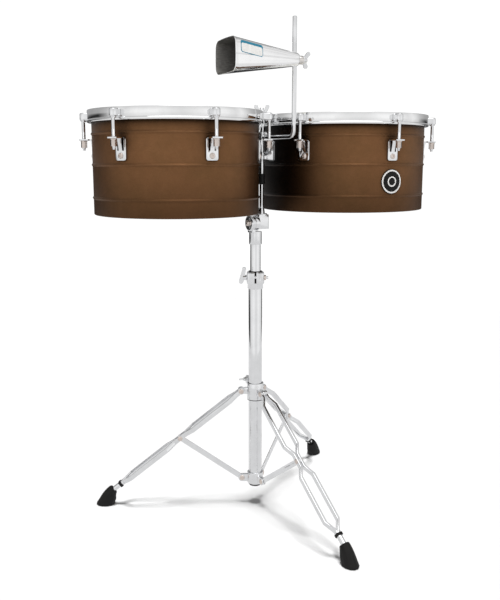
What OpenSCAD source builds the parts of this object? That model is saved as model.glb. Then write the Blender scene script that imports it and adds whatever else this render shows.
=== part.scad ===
// Timbales: two open-bottomed metal drums on one centre rod, with a cowbell on its
// own arm, on a folding tripod stand.
// Frame: origin on the floor under the stand's post, +Z up, +X along the line of the
// two drums (smaller drum towards -X), the player stands towards +Y. Millimetres.

/* [Drums] */
// Outside diameter of the smaller shell (14 inch head)
small_d = 357.4; // [354:0.1:359]
// Outside diameter of the larger shell (15 inch head)
large_d = 387; // [384:0.1:388]
// Height of both shells from lower rim to bearing edge
shell_h = 205; // [200:1:206]
// Thickness of the shell metal
shell_t = 1.5; // [1.2:0.1:1.8]
// Height of the lower rims above the floor
shell_z = 715; // [715:1:740]
// How far the rolled beads stand out of the shells
bead_h = 2; // [0.8:0.1:2.2]
// Wall thickness of the counter hoops
hoop_t = 2.5; // [2:0.1:3]
// Width of the counter hoops' flat band
band_h = 20; // [16:1:22]
// Tension units on each drum
lug_n = 6; // [6:1:6]

/* [Centre rod] */
// Distance of the centre rod from the post's axis, along the drum line
rod_x = 16; // [15:0.5:17]
// Radius of the centre rod
rod_r = 4.75; // [4.5:0.05:4.8]
// Gap from the centre rod's axis to the smaller shell
gap_small = 32.2; // [32:0.1:34]
// Gap from the centre rod's axis to the larger shell
gap_large = 28.5; // [28.5:0.1:31]

/* [Cowbell] */
// Radius of the cowbell arm's rod
arm_r = 4.75; // [4:0.05:5]
// Reach of the arm from the centre rod to its upright
arm_reach = 115; // [110:1:120]
// Compass angle of the arm about the centre rod
arm_turn = -82; // [-84:1:-82]
// Height of the top of the arm above the floor
arm_top = 1129; // [1100:1:1180]
// Height of the cowbell's centre line above the floor
bell_z = 1040; // [1010:0.5:1060]
// Length of the cowbell from the arm to the mouth
bell_l = 159; // [140:1:180]
// Width of the cowbell's mouth
mouth_w = 106; // [90:1:110]
// Height of the cowbell's mouth
mouth_h = 68; // [58:1:70]
// Compass angle the mouth points to
bell_turn = 176; // [170:1:190]

/* [Stand] */
// Radius of the lower tube
lower_tube_r = 15.9; // [15.9:0.1:15.9]
// Radius of the upper tube
upper_tube_r = 12.1; // [12:0.05:12.2]
// Height of the tilt axis above the floor
tilt_z = 687; // [685:1:688]
// Compass angle of the height clamp's frame; its open side is a quarter turn less
clamp_turn = -28; // [-40:1:-20]

/* [Tripod] */
// Compass angle of the first leg
tripod_turn = 34; // [30:1:38]
// Radius of the leg pivots on the sliding collar
leg_pivot_r = 34; // [33:0.5:35]
// Height of the leg pivots above the floor
leg_pivot_z = 284.5; // [284:0.5:285]
// Radius of the brace rivets on the legs
leg_rivet_r = 182; // [180:1:184]
// Height of the brace rivets above the floor
leg_rivet_z = 167.4; // [167:0.1:168]
// Radius of the brace pivots on the fixed collar
brace_pivot_r = 32; // [31:0.5:33]
// Height of the brace pivots above the floor
brace_pivot_z = 64; // [62:1:66]
// Half the spread between the two bars of a leg
bar_spread = 17; // [15:0.5:18]

/* [Hidden] */
$fn = 64;
drum_fn = 180;          // facets of everything as wide as a drum

small_r = small_d / 2;
large_r = large_d / 2;
small_x = rod_x - gap_small - small_r;
large_x = rod_x + gap_large + large_r;
top_z = shell_z + shell_h;      // bearing edges

// Radial clearances
tight = 0.02;
sliding = 0.05;
loose = 0.06;

bolt_r = 3;             // clamp, collar and cowbell bolts
pin_r = 4;              // tripod rivets and the tilter's bolt

chrome = [0.82, 0.83, 0.85];
steel = [0.72, 0.70, 0.68];
bronze = [0.41, 0.29, 0.20];
black = [0.08, 0.08, 0.08];
skin = [0.93, 0.92, 0.88];

// ---- shared shapes ----

// Children and their mirror image across the x-z plane
module both_sides() for (m = [0, 1]) mirror([0, m, 0]) children();

// Children with a round hole along the z axis, starting at z
module bored(radius, z, length) difference() {
    union() children();
    translate([0, 0, z]) cylinder(r = radius, h = length);
}

// Cylinder along +X that starts at x, at height z
module x_cylinder(x, z, radius, length)
    translate([x, 0, z]) rotate([0, 90, 0]) cylinder(r = radius, h = length);

// Cylinder along Y, centred on y = 0
module y_cylinder(x, z, radius, length)
    translate([x, length / 2, z]) rotate([90, 0, 0]) cylinder(r = radius, h = length);

// Rectangle centred on x, standing on y = 0, with four rounded corners
module rounded_rect(width, height, corner) {
    translate([-width / 2 + corner, 0]) square([width - 2 * corner, height]);
    translate([-width / 2, corner]) square([width, height - 2 * corner]);
    for (x = [-width / 2 + corner, width / 2 - corner], y = [corner, height - corner])
        translate([x, y]) circle(r = corner);
}

// Upright rounded plate across X, from x outwards, standing on height z
module upright_plate(x, z, thickness, width, height, corner)
    translate([x, 0, z]) rotate([90, 0, 90]) linear_extrude(height = thickness)
        rounded_rect(width, height, corner);

// Level rounded plate lying on height z and reaching out along +X from x
module level_plate(x, z, thickness, width, length, corner)
    translate([x, 0, z]) linear_extrude(height = thickness)
        rotate([0, 0, -90]) rounded_rect(width, length, corner);

// Ring about the z axis, as round as a drum
module drum_ring(inner_r, outer_r, z, height) difference() {
    translate([0, 0, z]) cylinder(r = outer_r, h = height, $fn = drum_fn);
    translate([0, 0, z - 1]) cylinder(r = inner_r, h = height + 2, $fn = drum_fn);
}

// Wing outline in the x-y plane: y is the screw axis, x the span; one side only
module wing_outline(reach, rise, tip) {
    tip_centre = [reach - tip, rise - tip];
    across = [tip * 0.75, -tip * 0.66];
    polygon([[1.5, 0.5], [5, 0.5], tip_centre + across, tip_centre - across, [1.5, 7.5]]);
    translate(tip_centre) circle(r = tip);
}

// Wing nut or wing head standing on z = 0 about the z axis
module wing_body(hub_r, hub_top, hub_h, reach, rise, tip, thickness) {
    rotate_extrude() polygon([[0, 0], [hub_r, 0], [hub_r, hub_h * 0.25],
        [hub_top, hub_h * 0.9], [hub_top - 0.8, hub_h], [0, hub_h]]);
    for (m = [0, 1]) mirror([m, 0, 0])
        rotate([90, 0, 0]) translate([0, 0, -thickness / 2])
            linear_extrude(height = thickness) wing_outline(reach, rise, tip);
}

// Domed fastener head standing on z = 0
module dome(radius, height)
    rotate_extrude() polygon([[0, 0], [radius, 0], [radius, height * 0.3],
        [radius * 0.86, height * 0.68], [radius * 0.55, height * 0.92],
        [radius * 0.2, height], [0, height]]);

// Rivet along Y centred on the origin, with a dome from head_y outwards at each end
module rivet(length, head_r, head_y) rotate([-90, 0, 0]) {
    translate([0, 0, -length / 2]) cylinder(r = pin_r, h = length);
    for (m = [0, 1]) mirror([0, 0, m]) translate([0, 0, head_y]) dome(head_r, 2);
}

// ---- drums: each part is built about its drum's axis ----

bead_zs = [top_z - 169, top_z - 100, top_z - 36];
bead_half = 4;          // half the width of a bead
screw_z = top_z - 82;   // screws of the tension brackets
mount_bolt_zs = [screw_z, top_z - 56];
screw_r = 2.5;
screw_hole_r = 2.6;
lug_turn = 30;          // first tension unit, from the drum line
hook_out = 21.6;        // tension rods' axes outside the shell
tension_rod_r = 3.75;

// Stations up the shell wall: [height, how far the wall is pushed out]
wall = concat([[shell_z + 3, 0]],
    [for (z = bead_zs, i = [-bead_half:1:bead_half])
        [z + i, bead_h * (0.5 + 0.5 * cos(180 * i / bead_half))]],
    [[top_z - 3, 0]]);

module small_drum() translate([small_x, 0, 0]) children();
module large_drum() translate([large_x, 0, 0]) children();

module each_lug()
    for (i = [0:lug_n - 1]) rotate([0, 0, lug_turn + i * 360 / lug_n]) children();

// Beaded wall with an inturned lower rim; rod_angle points to the centre rod
module shell(radius, rod_angle) {
    inner_r = radius - shell_t;
    difference() {
        rotate_extrude($fn = drum_fn) polygon(concat(
            [[radius - 2, shell_z], [radius - 0.6, shell_z + 0.6], [radius, shell_z + 2]],
            [for (station = wall) [radius + station[1], station[0]]],
            [[radius, top_z - 1.6], [radius - 0.5, top_z - 0.4], [radius - 1.4, top_z],
             [inner_r - 1.6, top_z], [inner_r - 1.6, top_z - 1.2], [inner_r, top_z - 4]],
            [for (i = [len(wall) - 2:-1:1]) [inner_r + wall[i][1], wall[i][0]]],
            [[inner_r, shell_z + 4], [inner_r - 1, shell_z + 1.6],
             [radius - 8, shell_z + 1.6], [radius - 8, shell_z]]));
        each_lug() x_cylinder(radius - 6, screw_z, screw_hole_r, 12);
        for (z = mount_bolt_zs) rotate([0, 0, rod_angle])
            x_cylinder(radius - 6, z, screw_hole_r, 12);
    }
}

module drum_head(radius)
    rotate_extrude($fn = drum_fn) polygon([[0, top_z + 0.1], [radius - 1.2, top_z + 0.1],
        [radius - 0.38, top_z - 0.28], [radius + 0.12, top_z - 1.5],
        [radius + 0.12, top_z - 11.5], [radius + 0.62, top_z - 11.5],
        [radius + 0.62, top_z - 1.3], [radius + 0.1, top_z + 0.1],
        [radius - 0.8, top_z + 0.6], [0, top_z + 0.6]]);

module flesh_hoop(radius)
    rotate_extrude($fn = drum_fn) polygon([[radius + 0.75, top_z - 12.4],
        [radius + 4.7, top_z - 12.4], [radius + 5.4, top_z - 11.7],
        [radius + 5.4, top_z - 8.2], [radius + 4.7, top_z - 7.6],
        [radius + 0.75, top_z - 7.6]]);

// Flat band with a rounded bulge round its lower edge and a lip over the flesh hoop
module counter_hoop(radius) {
    band_r = radius + 6;
    outer_r = band_r + hoop_t;
    lip_r = radius + 1.6;
    lip_z = top_z - 7.2;
    bulge_r = 3.4;
    rotate_extrude($fn = drum_fn) polygon(concat(
        [[lip_r, lip_z], [radius + 5.9, lip_z], [radius + 5.9, top_z - 12.2]],
        [for (a = [-80:20:60])
            [radius + 6.5 + bulge_r * cos(a), top_z - 9.6 + bulge_r * sin(a)]],
        [[outer_r, top_z - 6], [outer_r, lip_z + band_h - 1], [outer_r - 0.5, lip_z + band_h],
         [radius + 6.5, lip_z + band_h], [band_r, lip_z + band_h - 1],
         [band_r, lip_z + 2.6], [lip_r, lip_z + 2.2]]));
}

// Stamped bracket: a forked back plate whose middle tongue rises and folds out as the ear
module lug_bracket(radius) {
    plate_z = top_z - 91;
    ear_z = plate_z + 42.4;
    ear_t = 2.8;
    difference() {
        intersection() {
            upright_plate(radius - 3, plate_z, 8, 26, 44, 4.5);
            drum_ring(radius + loose, radius + 2.5, plate_z - 1, 46);
        }
        translate([radius - 4, -8.5, plate_z + 19]) cube([12, 17, 40]);
        x_cylinder(radius - 6, screw_z, screw_hole_r, 14);
    }
    // tongue
    rotate([90, 0, 0]) translate([0, 0, -4.5]) linear_extrude(height = 9)
        polygon([[radius + 0.4, plate_z + 17], [radius + 2.4, plate_z + 17],
            [radius + 6.2, plate_z + 40], [radius + 7.6, ear_z], [radius + 12, ear_z],
            [radius + 12, ear_z + ear_t], [radius + 6.4, ear_z + ear_t],
            [radius + 4, plate_z + 43], [radius + 0.4, plate_z + 20]]);
    difference() {
        level_plate(radius + 8, ear_z, ear_t, 23, 22, 3.5);
        translate([radius + hook_out, 0, plate_z + 40])
            cylinder(r = tension_rod_r + 0.1, h = 8);
    }
}

// Washer and hexagon nut about the z axis, each from its own height
module washer_and_nut(washer_z, nut_z) {
    translate([0, 0, washer_z]) cylinder(r = 6, h = 1);
    translate([0, 0, nut_z]) cylinder(r = 4.6, h = 4.2, $fn = 6);
}

// Cross-slotted screw through the bracket, with its washer and nut inside the shell
module lug_screw(radius) translate([0, 0, screw_z]) rotate([0, 90, 0]) {
    difference() {
        translate([0, 0, radius + 2.6]) dome(6, 3);
        for (a = [45, 135]) rotate([0, 0, a])
            translate([-0.6, -3, radius + 4.2]) cube([1.2, 6, 3]);
    }
    translate([0, 0, radius - 8]) cylinder(r = screw_r, h = 10.8);
    washer_and_nut(radius - shell_t - 1.9, radius - shell_t - 5.9);
}

// Hook block that bears on the counter hoop, with its tension rod
module tension_hook(radius) {
    axis_r = radius + hook_out;
    translate([axis_r, 0, top_z - 70]) cylinder(r = 2.7, h = 6);
    translate([axis_r, 0, top_z - 66]) cylinder(r = tension_rod_r, h = 62);
    translate([axis_r - 0.8, 0, top_z - 9.5]) rotate_extrude() polygon([[0, 0], [5.2, 0],
        [6.2, 1.2], [6.8, 3.8], [8.3, 4.6], [8.3, 16], [7.4, 18], [5.6, 19], [0, 19]]);
    upright_plate(radius + 8.8, top_z - 5.6, 12, 16.6, 15, 3.2);
}

module tension_nut(radius)
    translate([radius + hook_out, 0, top_z - 64]) bored(tension_rod_r + loose, -1, 18) {
        cylinder(r = 6.8, h = 13.4, $fn = 6);
        translate([0, 0, 13.2]) cylinder(r = 7.2, h = 1.9);
    }

module small_shell() color(bronze) small_drum() shell(small_r, 0);
module large_shell() color(bronze) large_drum() shell(large_r, 180);
module small_head() color(skin) small_drum() drum_head(small_r);
module large_head() color(skin) large_drum() drum_head(large_r);
module small_flesh_hoop() color(steel) small_drum() flesh_hoop(small_r);
module large_flesh_hoop() color(steel) large_drum() flesh_hoop(large_r);
module small_counter_hoop() color(chrome) small_drum() counter_hoop(small_r);
module large_counter_hoop() color(chrome) large_drum() counter_hoop(large_r);
module small_lug_brackets() color(chrome) small_drum() each_lug() lug_bracket(small_r);
module large_lug_brackets() color(chrome) large_drum() each_lug() lug_bracket(large_r);
module small_lug_screws() color(steel) small_drum() each_lug() lug_screw(small_r);
module large_lug_screws() color(steel) large_drum() each_lug() lug_screw(large_r);
module small_tension_hooks() color(chrome) small_drum() each_lug() tension_hook(small_r);
module large_tension_hooks() color(chrome) large_drum() each_lug() tension_hook(large_r);
module small_tension_nuts() color(steel) small_drum() each_lug() tension_nut(small_r);
module large_tension_nuts() color(steel) large_drum() each_lug() tension_nut(large_r);

// Round badge curved to the larger shell's -Y side, below a tension unit
module shell_badge() color(black) large_drum() intersection() {
    drum_ring(large_r + 0.1, large_r + 1.3, top_z - 170, 66);
    rotate([0, 0, 270]) x_cylinder(large_r - 10, top_z - 137, 27, 20);
}

// ---- drum mounts: built about the centre rod, with +X towards the shell ----

// Eyes round the centre rod: [bottom, top]
large_low_eye = [top_z - 87.9, top_z - 80];
small_low_eye = [top_z - 79.9, top_z - 72];
large_high_eye = [top_z - 33.2, top_z - 27];
small_high_eye = [top_z - 26.9, top_z - 9];

module at_rod(z = 0) translate([rod_x, 0, z]) children();
module small_side() at_rod() rotate([0, 0, 180]) children();

// Channel bracket: a plate on the shell and two webs, each reaching to both eyes
module mount_bracket(radius, gap, low_eye, high_eye) {
    eye_r = 8.2;
    difference() {
        union() {
            difference() {
                upright_plate(gap - 2.8, top_z - 92, 4, 24, 46, 3);
                translate([gap + radius, 0, top_z - 100])
                    cylinder(r = radius + loose, h = 70, $fn = drum_fn);
            }
            both_sides() rotate([90, 0, 0]) translate([0, 0, -eye_r])
                linear_extrude(height = 2.6) polygon([[gap - 1.2, top_z - 90],
                    [gap - 1.2, top_z - 47], [gap - 6, top_z - 47],
                    [9, high_eye[1]], [3, high_eye[1]], [3, high_eye[0]], [9.5, high_eye[0]],
                    [gap - 9, top_z - 56], [gap - 9, top_z - 66],
                    [9.5, low_eye[1]], [3, low_eye[1]], [3, low_eye[0]], [9, low_eye[0]]]);
            for (eye = [low_eye, high_eye])
                translate([0, 0, eye[0]]) cylinder(r = eye_r, h = eye[1] - eye[0]);
        }
        translate([0, 0, top_z - 100]) cylinder(r = rod_r + sliding, h = 120);
        // room between the eyes
        translate([0, 0, low_eye[1]]) cylinder(r = 9.9, h = high_eye[0] - low_eye[1]);
        for (z = mount_bolt_zs) x_cylinder(gap - 8, z, screw_hole_r, 16);
    }
}

// Hexagon-socket bolts, with washers and nuts inside the shell
module mount_bolts(gap)
    for (z = mount_bolt_zs) translate([0, 0, z]) rotate([0, 90, 0]) {
        difference() {
            translate([0, 0, gap - 2.9]) mirror([0, 0, 1]) dome(5, 2.8);
            translate([0, 0, gap - 7]) cylinder(r = 2, h = 2.4, $fn = 6);
        }
        translate([0, 0, gap - 3.2]) cylinder(r = screw_r, h = 12);
        washer_and_nut(gap + shell_t + 0.9, gap + shell_t + 1.7);
    }

module small_mount_bracket() color(chrome) small_side()
    mount_bracket(small_r, gap_small, small_low_eye, small_high_eye);
module large_mount_bracket() color(chrome) at_rod()
    mount_bracket(large_r, gap_large, large_low_eye, large_high_eye);
module small_mount_bolts() color(steel) small_side() mount_bolts(gap_small);
module large_mount_bolts() color(steel) at_rod() mount_bolts(gap_large);

// ---- centre rod ----

module center_rod() color(chrome) at_rod() rotate_extrude() polygon([[0, tilt_z + 6.5],
    [rod_r - 0.8, tilt_z + 6.5], [rod_r, tilt_z + 7.3], [rod_r, top_z + 25.4],
    [rod_r - 1.2, top_z + 26.6], [0, top_z + 26.6]]);

module rod_lock_nut() color(chrome) at_rod(tilt_z) bored(rod_r + tight, 18, 18)
    rotate_extrude() polygon([[0, 19.2], [13, 19.2], [13, 21.4], [7.6, 21.6], [7.6, 24.5],
        [6.2, 33.5], [5.6, 34.2], [0, 34.2]]);

module rod_bumper() color(black) at_rod(top_z - 145) bored(rod_r + tight, -1, 26)
    rotate_extrude() polygon([[0, 0], [6.6, 0], [7.4, 1], [7.4, 23], [6.6, 24], [0, 24]]);

// Spacers below the low eyes and above them, and a flanged one on the high eyes
module rod_spacers() {
    spacer_r = 6.2;
    hole_r = rod_r + tight;
    color(chrome) at_rod() {
        bored(hole_r, top_z - 122, 40)
            translate([0, 0, top_z - 120.9]) cylinder(r = spacer_r, h = 32.9);
        bored(hole_r, top_z - 73, 30)
            translate([0, 0, top_z - 71.9]) cylinder(r = spacer_r, h = 25.1);
        bored(hole_r, top_z - 10, 20) {
            translate([0, 0, top_z - 8.9]) cylinder(r = 9, h = 1.8);
            translate([0, 0, top_z - 7.2]) cylinder(r = 6.8, h = 11.1);
        }
    }
}

module top_wing_nut() color(chrome) at_rod(top_z + 4.1) bored(rod_r + loose, -1, 40)
    rotate([0, 0, -28]) wing_body(hub_r = 9.5, hub_top = 6.8, hub_h = 17,
        reach = 17.5, rise = 29.5, tip = 4.6, thickness = 3.6);

// ---- tilter ----

// Fixed half of the tilter: socket over the upper tube and a round clutch plate
module tilter_base() color(chrome) difference() {
    union() {
        translate([0, 0, tilt_z - 49]) cylinder(r = 14.6, h = 29.4);
        translate([-14, -11, tilt_z - 22]) cube([8.5, 22, 22]);
        translate([0, 0, tilt_z]) rotate([0, -90, 0]) translate([0, 0, 5.5])
            rotate_extrude() polygon([[0, 0], [18, 0], [18, 11], [16.6, 12.5], [0, 12.5]]);
    }
    translate([0, 0, tilt_z - 50]) cylinder(r = upper_tube_r + 0.04, h = 26.5);
    x_cylinder(-20, tilt_z, pin_r + loose, 30);
    // three blind holes in the plate's -X face
    for (a = [30, 150, 270]) translate([0, 0, tilt_z]) rotate([a, 0, 0])
        x_cylinder(-18.4, 11.2, 3.2, 3.4);
}

module tilter_bolt() color(steel) {
    x_cylinder(-18.2, tilt_z, pin_r, 39);
    x_cylinder(-23.4, tilt_z, 6.4, 5.2, $fn = 6);
    x_cylinder(-24.4, tilt_z, 4.4, 2);
}

// Tilting half: a matching clutch plate and the block that holds the centre rod
module tilter_head() color(chrome) difference() {
    union() {
        x_cylinder(-5.3, tilt_z, 17.5, 9);
        level_plate(2, tilt_z - 14, 33, 24, 28, 4);
    }
    at_rod(tilt_z + 6.2) cylinder(r = rod_r + tight, h = 20);
    x_cylinder(-8, tilt_z, pin_r + loose, 29.5);
}

// ---- cowbell and its arm ----

arm_z = top_z - 40;     // level part of the arm
arm_bend_r = 14;
bell_back = -8.6;       // closed end of the bell, from the arm's axis

// Frame of the arm: z axis on the centre rod, +X along the arm
module arm_side() at_rod() rotate([0, 0, arm_turn]) children();

// Frame of the bell: origin on the arm's upright, +X towards the mouth
module bell_side() arm_side() translate([arm_reach, 0, bell_z])
    rotate([0, 0, bell_turn - arm_turn]) children();

module cowbell_arm() {
    bend_x = arm_reach - arm_bend_r;
    bend_z = arm_z + arm_bend_r;
    color(chrome) arm_side() difference() {
        union() {
            translate([0, 0, top_z - 46.7]) cylinder(r = 9.5, h = 13.4);
            x_cylinder(7, arm_z, arm_r, bend_x - 7);
            translate([bend_x, 0, bend_z]) rotate([90, 0, 0]) rotate([0, 0, -90])
                rotate_extrude(angle = 90) translate([arm_bend_r, 0]) circle(r = arm_r);
            translate([arm_reach, 0, bend_z]) cylinder(r = arm_r, h = arm_top - arm_z - 15);
            translate([arm_reach, 0, arm_top - 1.2])
                cylinder(r1 = arm_r, r2 = arm_r - 1.2, h = 1.2);
        }
        translate([0, 0, top_z - 50]) cylinder(r = rod_r + sliding, h = 20);
        // shallow groove round the upright, below its free end
        translate([arm_reach, 0, arm_top - 54])
            bored(arm_r - 0.4, -1, 4) cylinder(r = arm_r + 1, h = 1.2);
    }
}

module bell_slab(x, width, height, corner)
    translate([x, 0, -height / 2]) rotate([90, 0, 90]) linear_extrude(height = 0.5)
        rounded_rect(width, height, corner, $fn = 32);

// Sheet bell, closed at the small end, with holes for the arm and the eyebolt
module cowbell() {
    sheet_t = 1.4;
    mouth_corner = 16;
    color(chrome) bell_side() difference() {
        hull() {
            bell_slab(bell_l - 0.5, mouth_w, mouth_h, mouth_corner);
            bell_slab(bell_back, 26, 25, 8);
        }
        hull() {
            bell_slab(bell_l + 0.5, mouth_w - 2 * sheet_t, mouth_h - 2 * sheet_t,
                mouth_corner - sheet_t);
            bell_slab(bell_back + sheet_t, 23.4, 22.4, 6.8);
        }
        translate([0, 0, -30]) cylinder(r = arm_r + loose, h = 60);
        x_cylinder(-12, 0, bolt_r + 0.08, 6);
    }
}

module cowbell_eyebolt() color(steel) bell_side() bored(arm_r + loose, -10, 20) {
    translate([0, 0, -4.5]) cylinder(r = 6.9, h = 9);
    x_cylinder(-30, 0, bolt_r, 25);
}

// Children standing on the bolt at x, pointing away from the mouth
module on_eyebolt(x) bell_side() translate([x, 0, 0]) rotate([0, -90, 0]) children();

module cowbell_sleeve() color(steel) on_eyebolt(-8.8) bored(bolt_r + 0.03, -1, 14)
    rotate_extrude() polygon([[0, 0], [8.6, 0], [9, 0.5], [9, 10], [8.6, 10.5], [0, 10.5]]);

module cowbell_wing_nut() color(chrome) on_eyebolt(-19.5) bored(bolt_r + loose, -1, 16)
    rotate([0, 0, 25]) wing_body(hub_r = 7, hub_top = 5.2, hub_h = 9.5,
        reach = 18, rise = 15, tip = 4.6, thickness = 3);

// ---- stand tubes ----

tube_t = 1.5;

module lower_tube() color(chrome) bored(lower_tube_r - tube_t, 49, 497)
    translate([0, 0, 50]) cylinder(r = lower_tube_r, h = 495);

module tube_plug() color(black) {
    translate([0, 0, 46]) cylinder(r1 = lower_tube_r - 1.5, r2 = lower_tube_r, h = 2);
    translate([0, 0, 48]) cylinder(r = lower_tube_r, h = 1.9);
    translate([0, 0, 49]) cylinder(r = lower_tube_r - tube_t - sliding, h = 12);
}

module upper_tube() color(chrome) bored(upper_tube_r - tube_t, 244, tilt_z)
    translate([0, 0, 245]) cylinder(r = upper_tube_r, h = tilt_z - 23.8 - 245);

// ---- height clamp at the top of the lower tube ----

clamp_bolt_y = -21;
clamp_bolt_z = 562;

module clamp_side() rotate([0, 0, clamp_turn]) children();

// Stepped sleeve with a split lug on its -Y side
module clamp_body() color(chrome) clamp_side() difference() {
    union() {
        translate([0, 0, 533]) rotate_extrude() polygon([[0, 0], [17.4, 0], [18.1, 0.8],
            [18.1, 13], [19.4, 16], [19.4, 39], [18.2, 40.5], [0, 40.5]]);
        translate([0, -28, 548.5]) linear_extrude(height = 24) rounded_rect(40, 26, 5);
    }
    translate([0, 0, 530]) cylinder(r = lower_tube_r + 0.04, h = 15.6);
    translate([0, 0, 540]) cylinder(r = 14.3, h = 40);
    translate([-2.2, -32, 547.5]) cube([4.4, 22, 30]);
    translate([9.5, -32, 553]) cube([2.6, 8, 15]);
    translate([0, clamp_bolt_y, 0]) x_cylinder(-22, clamp_bolt_z, bolt_r + loose, 44);
}

module clamp_bushing() color(black) bored(upper_tube_r + sliding, 544, 34) {
    translate([0, 0, 545.8]) cylinder(r = 14.25, h = 27.9);
    translate([0, 0, 573.6]) cylinder(r = 15.6, h = 1.6);
}

module clamp_nut() color(steel) clamp_side()
    translate([20.1, clamp_bolt_y, clamp_bolt_z]) rotate([0, 90, 0])
        bored(bolt_r + loose, -1, 8) cylinder(r = 6.2, h = 4.2, $fn = 6);

// Bolt with a flat two-armed handle at its -X end
module clamp_wing_bolt() color(chrome) clamp_side()
    translate([0, clamp_bolt_y, clamp_bolt_z]) {
        x_cylinder(-21, 0, bolt_r, 51);
        rotate([0, -90, 0]) translate([0, 0, 20.3]) rotate_extrude() polygon([[0, 0],
            [6.4, 0], [6.4, 2], [5, 6], [4.6, 9], [0, 9]]);
        rotate([90, 0, 0]) translate([0, 0, -2.5]) linear_extrude(height = 5) {
            polygon([[-22.4, 18.5], [-29.6, 22.8], [-38.2, -7.5], [-29, -12.5], [-25.4, -4]]);
            translate([-26.1, 20]) circle(r = 4.6);
            translate([-33.4, -9.4]) circle(r = 5);
        }
    }

// ---- tripod collars ----

ear_t = 2.5;            // ear plates of the fixed collar
ear_y = 3.2;            // their middles, from the leg's middle plane
split_bolt_x = 26.5;    // bolt across the sliding collar's split
split_bolt_z = leg_pivot_z + 23.5;

// Frame of one leg: z axis on the post, +X outwards along the leg
module leg_side(k) rotate([0, 0, tripod_turn + 120 * (k - 1)]) children();
module each_leg() for (k = [1:3]) leg_side(k) children();

// Frame of the sliding collar's split, midway between the first two legs
module split_side() rotate([0, 0, tripod_turn + 60]) children();

module lower_collar() color(chrome) difference() {
    union() {
        translate([0, 0, brace_pivot_z - 12]) cylinder(r = 19, h = 27);
        each_leg() for (s = [-1, 1]) translate([0, s * ear_y, 0]) {
            translate([17.4, -ear_t / 2, brace_pivot_z - 9])
                cube([brace_pivot_r - 17.4, ear_t, 18]);
            y_cylinder(brace_pivot_r, brace_pivot_z, 9, ear_t);
        }
    }
    translate([0, 0, brace_pivot_z - 14]) cylinder(r = lower_tube_r + 0.03, h = 32);
    each_leg() y_cylinder(brace_pivot_r, brace_pivot_z, pin_r + sliding, 16);
}

// Rivets of the fixed collar: one half in each ear plate
module lower_rivets() color(steel) each_leg() both_sides()
    translate([brace_pivot_r, 0, brace_pivot_z]) rotate([-90, 0, 0]) {
        translate([0, 0, 1.95]) cylinder(r = pin_r + 0.03, h = 2.7);
        translate([0, 0, 4.5]) dome(6.2, 2);
    }

module upper_collar() color(chrome) difference() {
    union() {
        translate([0, 0, leg_pivot_z - 19.5]) cylinder(r = 19.8, h = 39.5);
        each_leg() {
            translate([18.4, -3, leg_pivot_z - 8]) cube([leg_pivot_r - 18.4, 6, 16]);
            y_cylinder(leg_pivot_r, leg_pivot_z, 8, 6);
        }
        // lugs either side of the split
        split_side() for (s = [-1, 1])
            translate([18, s * 4 - 2.4, leg_pivot_z + 11]) cube([15, 4.8, 20]);
    }
    translate([0, 0, leg_pivot_z - 22]) cylinder(r = 17.6, h = 60);
    split_side() {
        translate([12, -1.6, leg_pivot_z - 24]) cube([26, 3.2, 60]);
        y_cylinder(split_bolt_x, split_bolt_z, bolt_r + loose, 20);
    }
    each_leg() y_cylinder(leg_pivot_r, leg_pivot_z, pin_r + 0.03, 12);
}

// Split lining of the sliding collar, with a flange under it
module collar_bushing() color(black) difference() {
    union() {
        translate([0, 0, leg_pivot_z - 21.5]) cylinder(r = 19, h = 1.9);
        translate([0, 0, leg_pivot_z - 20]) cylinder(r = 17.56, h = 39.5);
    }
    translate([0, 0, leg_pivot_z - 24]) cylinder(r = lower_tube_r + loose, h = 60);
    split_side() translate([10, -1.2, leg_pivot_z - 24]) cube([14, 2.4, 60]);
}

module collar_rivets() color(steel) each_leg()
    translate([leg_pivot_r, 0, leg_pivot_z]) rivet(length = 17.8, head_r = 6, head_y = 8.8);

module collar_wing_bolt() color(chrome) split_side()
    translate([split_bolt_x, 0, split_bolt_z]) rotate([-90, 0, 0]) {
        translate([0, 0, -9]) cylinder(r = bolt_r, h = 18);
        translate([0, 0, 6.6]) rotate([0, 0, 12]) wing_body(hub_r = 6, hub_top = 4.6,
            hub_h = 9, reach = 13.2, rise = 17, tip = 4, thickness = 3);
    }

// ---- legs, braces and feet ----

leg_drop = leg_pivot_z - leg_rivet_z;
leg_run = leg_rivet_r - leg_pivot_r;
leg_angle = atan2(leg_drop, leg_run);           // below level
rivet_at = sqrt(pow(leg_drop, 2) + pow(leg_run, 2));    // brace rivet, down the leg
brace_rise = leg_rivet_z - brace_pivot_z;
brace_run = leg_rivet_r - brace_pivot_r;
brace_angle = atan2(brace_rise, brace_run);     // above level
brace_l = sqrt(pow(brace_rise, 2) + pow(brace_run, 2));

bar_t = 5.5;
bar_w = 11;
bar_eye_y = 3.1;        // inner face of a bar at the collar
stub_r = 6.2;           // round end of the leg
stub_hole_r = 6.24;

// Centre line of one bar: distance down the leg, distance from the leg's middle plane
bar_line = [[0, bar_eye_y + bar_t / 2], [15, bar_eye_y + bar_t / 2],
    [36, bar_spread], [rivet_at - 40, bar_spread],
    [rivet_at - 17, 1.7 + bar_t / 2], [rivet_at + 17, 1.7 + bar_t / 2],
    [rivet_at + 40, bar_spread], [342, bar_spread],
    [366, 0.05 + bar_t / 2], [379, 0.05 + bar_t / 2]];

// Frame of a leg's slope: origin on its pivot, +X down the leg
module leg_axis(k) leg_side(k) translate([leg_pivot_r, 0, leg_pivot_z])
    rotate([0, leg_angle, 0]) children();

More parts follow.
